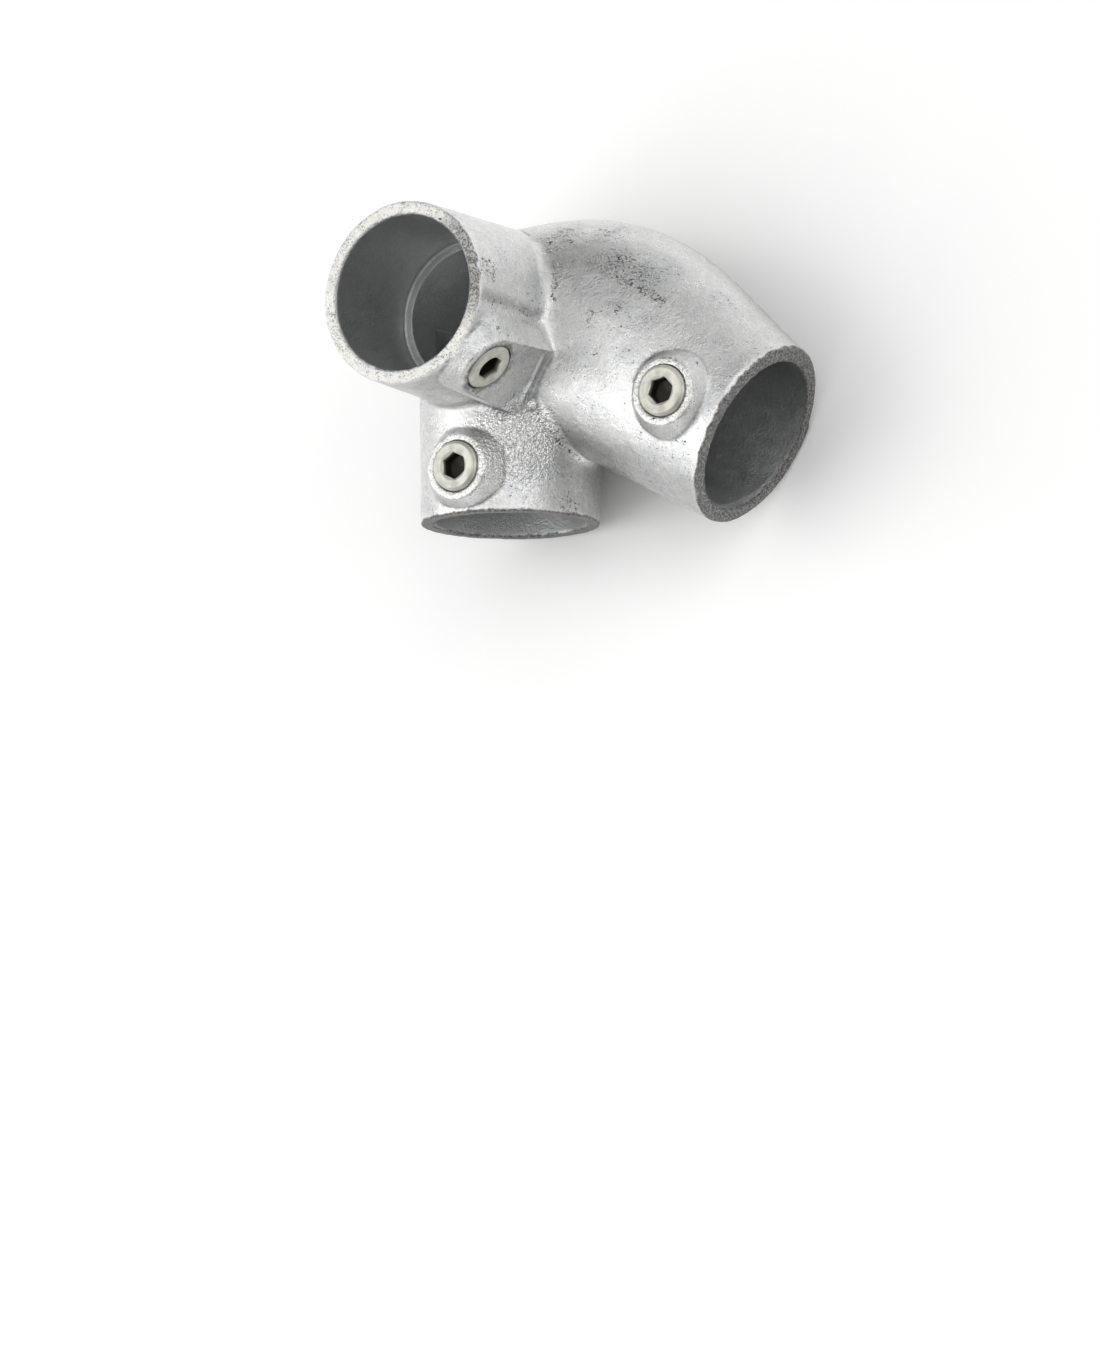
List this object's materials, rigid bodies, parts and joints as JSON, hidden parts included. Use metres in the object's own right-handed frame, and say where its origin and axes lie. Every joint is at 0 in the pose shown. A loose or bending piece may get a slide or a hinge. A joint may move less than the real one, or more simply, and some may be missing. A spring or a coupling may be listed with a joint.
{
  "type": "elbow tube clamp",
  "caption": "Galvanised cast tube clamp with a post socket, a side socket square to it and a sloping elbow socket, each locked on its tube by a hex-socket set screw.",
  "frame": {"origin": "node centre, where the post and side socket axes cross", "axes": "-Y out of the post socket, +Z out of the side socket; the slope socket lies in the XY plane and opens towards +X and -Y; the clamp lies on its back"},
  "size_m": [0.1421, 0.106, 0.0989],
  "materials": {
    "galvanised_casting": "hot-dip galvanised, satin, finely pitted",
    "screw_steel": "coated steel, satin"
  },
  "bodies": {
    "casting": {"clamp_casting": "galvanised_casting"},
    "post_screw": {"post_screw": "screw_steel"},
    "side_screw": {"side_screw": "screw_steel"},
    "slope_screw": {"slope_screw": "screw_steel"}
  },
  "joints": [
    {"name": "post_screw_travel", "type": "slide", "parent": "casting", "child": "post_screw", "axis": [0, 0, 1], "range_m": [-0.0028, 0.004]},
    {"name": "side_screw_travel", "type": "slide", "parent": "casting", "child": "side_screw", "axis": [0.7071, -0.7071, 0], "range_m": [-0.0028, 0.004]},
    {"name": "slope_screw_travel", "type": "slide", "parent": "casting", "child": "slope_screw", "axis": [0, 0, 1], "range_m": [-0.0028, 0.004]}
  ]
}
